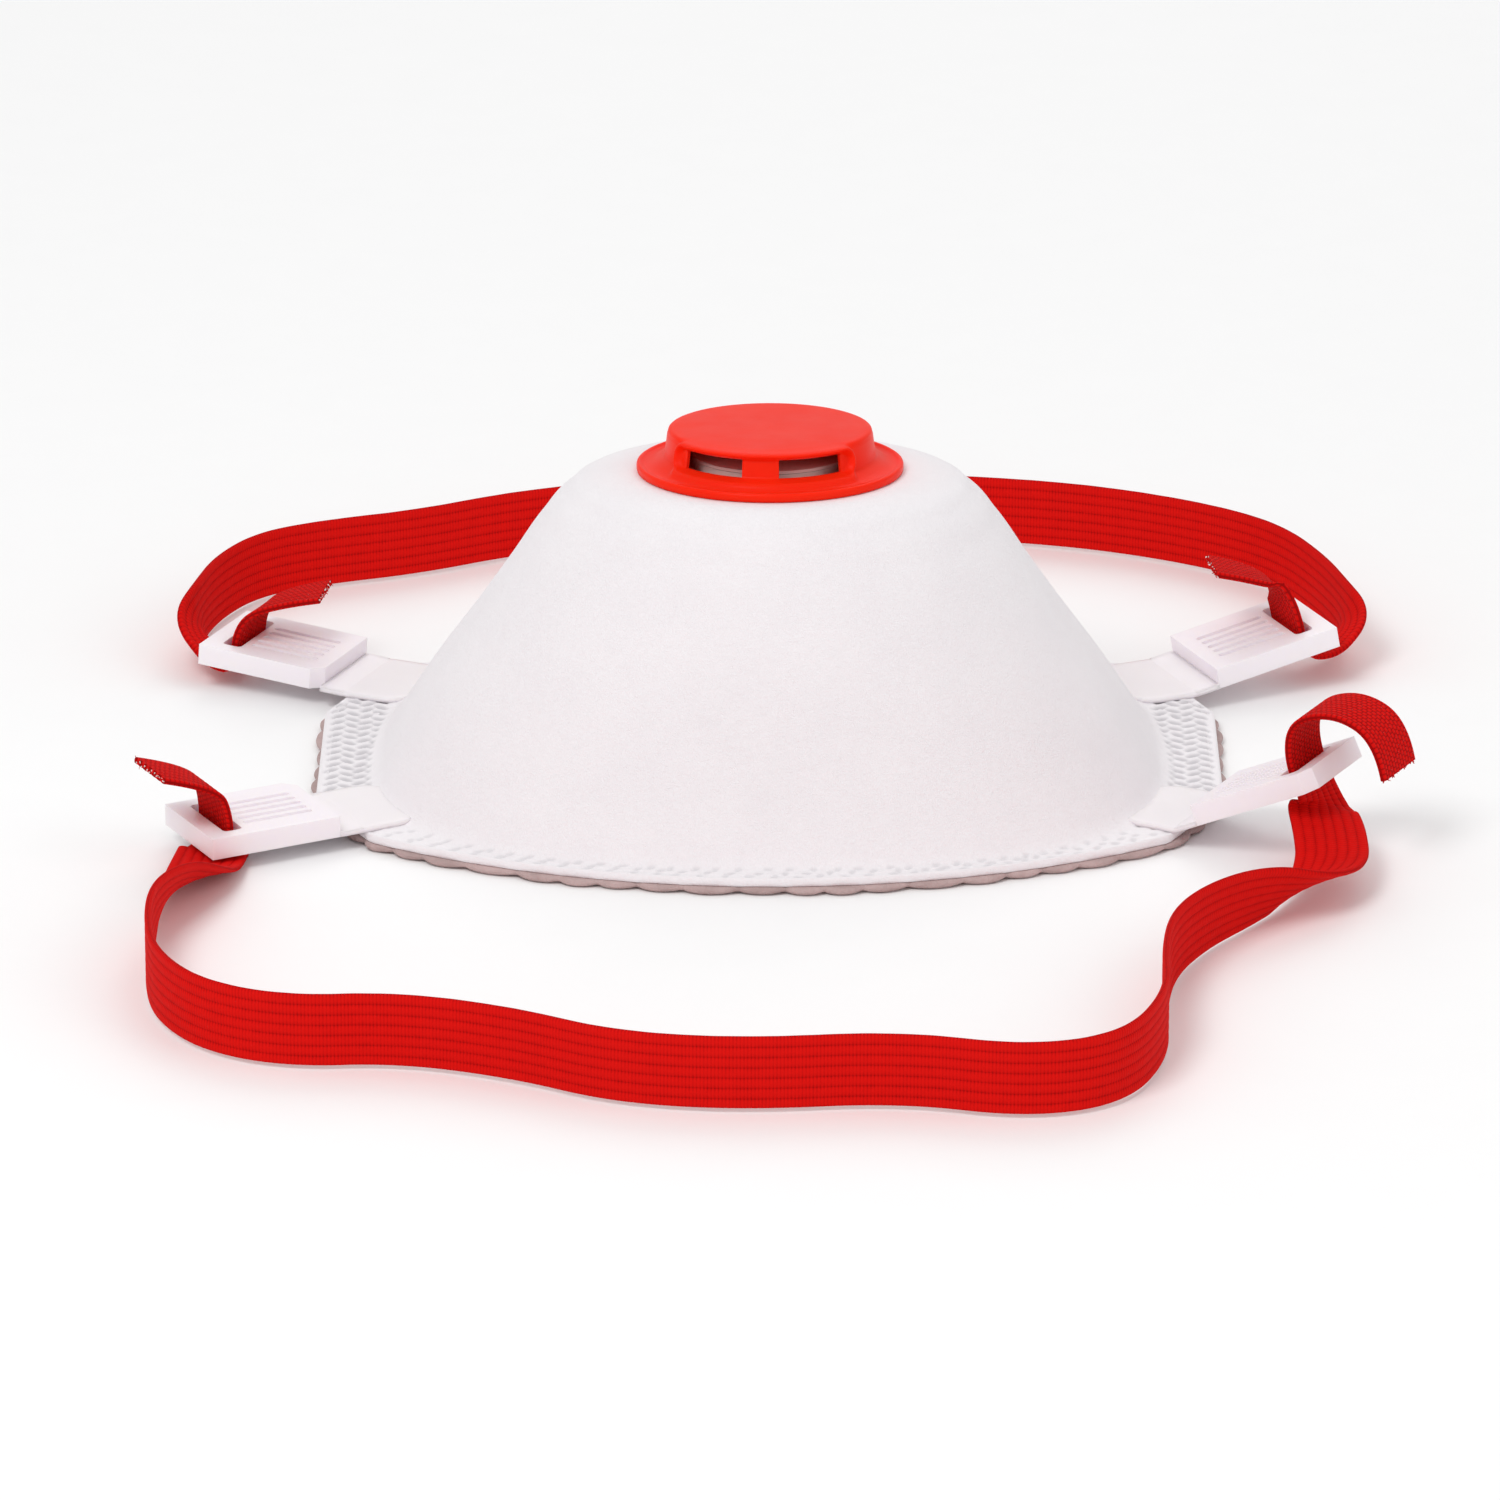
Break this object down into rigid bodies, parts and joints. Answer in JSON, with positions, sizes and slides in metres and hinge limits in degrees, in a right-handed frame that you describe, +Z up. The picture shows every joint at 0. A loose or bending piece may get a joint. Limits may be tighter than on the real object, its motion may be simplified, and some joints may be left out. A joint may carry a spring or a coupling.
{
  "type": "disposable dust mask",
  "caption": "Moulded cup respirator lying on its face seal, with an exhalation valve, a nose clip and elastic head straps held by hinged strap buckles.",
  "frame": {"origin": "on the resting plane under the face seal, straight below the centre of the exhalation valve", "axes": "+Z up out of the valve, away from the face; +X to the wearer's left; +Y to the nose side; -Y to the chin side"},
  "size_m": [0.2096, 0.2692, 0.0621],
  "materials": {
    "outer_fleece": "matt white non-woven",
    "prefilter_fleece": "matt white non-woven",
    "filter_fleece": "soft white melt-blown",
    "shell_fleece": "stiff white needle felt",
    "liner_fleece": "smooth white non-woven",
    "seal_foam": "soft pinkish grey foam cloth",
    "clip_metal": "satin",
    "nose_foam": "soft grey foam",
    "base_plastic": "satin pinkish white",
    "flap_rubber": "smooth pale silicone rubber",
    "red_plastic": "gloss orange red",
    "ring_plastic": "satin white",
    "buckle_plastic": "satin, slightly translucent white",
    "red_elastic": "woven ribbed elastic"
  },
  "bodies": {
    "mask": {"outer_cover": "outer_fleece", "prefilter_layer": "prefilter_fleece", "filter_layer": "filter_fleece", "support_shell": "shell_fleece", "inner_liner": "liner_fleece", "face_seal": "seal_foam", "nose_clip": "clip_metal", "nose_foam": "nose_foam", "valve_base": "base_plastic", "valve_cover": "red_plastic", "valve_retaining_ring": "ring_plastic", "lower_right_tab": "buckle_plastic", "lower_left_tab": "buckle_plastic", "upper_right_tab": "buckle_plastic", "upper_left_tab": "buckle_plastic", "lower_strap": "red_elastic", "upper_strap": "red_elastic"},
    "flap": {"valve_flap": "flap_rubber"},
    "lower_right_frame": {"lower_right_buckle": "buckle_plastic"},
    "lower_left_frame": {"lower_left_buckle": "buckle_plastic"},
    "upper_right_frame": {"upper_right_buckle": "buckle_plastic"},
    "upper_left_frame": {"upper_left_buckle": "buckle_plastic"}
  },
  "joints": [
    {"name": "lower_right_hinge", "type": "hinge", "parent": "mask", "child": "lower_right_frame", "pos_m": [-0.0706, -0.02719, 0.00315], "axis": [-0.4668, 0.8844, 0], "range_deg": [-45, 60], "stiffness_Nm_per_rad": 0.02, "deforming": ["lower_strap"]},
    {"name": "lower_left_hinge", "type": "hinge", "parent": "mask", "child": "lower_left_frame", "pos_m": [0.0706, -0.02719, 0.00315], "axis": [-0.4668, -0.8844, 0], "range_deg": [-70, 35], "stiffness_Nm_per_rad": 0.02, "deforming": ["lower_strap"]},
    {"name": "upper_right_hinge", "type": "hinge", "parent": "mask", "child": "upper_right_frame", "pos_m": [-0.06865, 0.0376, 0.00315], "axis": [0.3987, 0.9171, 0], "range_deg": [-49, 56], "stiffness_Nm_per_rad": 0.02, "deforming": ["upper_strap"]},
    {"name": "upper_left_hinge", "type": "hinge", "parent": "mask", "child": "upper_left_frame", "pos_m": [0.06865, 0.0376, 0.00315], "axis": [0.3987, -0.9171, 0], "range_deg": [-56, 49], "stiffness_Nm_per_rad": 0.02, "deforming": ["upper_strap"]},
    {"name": "flap_hinge", "type": "hinge", "parent": "mask", "child": "flap", "pos_m": [0.00136, 0.01449, 0.05492], "axis": [-0.9956, 0.0938, -0.0074], "range_deg": [0, 6], "stiffness_Nm_per_rad": 0.0005}
  ]
}
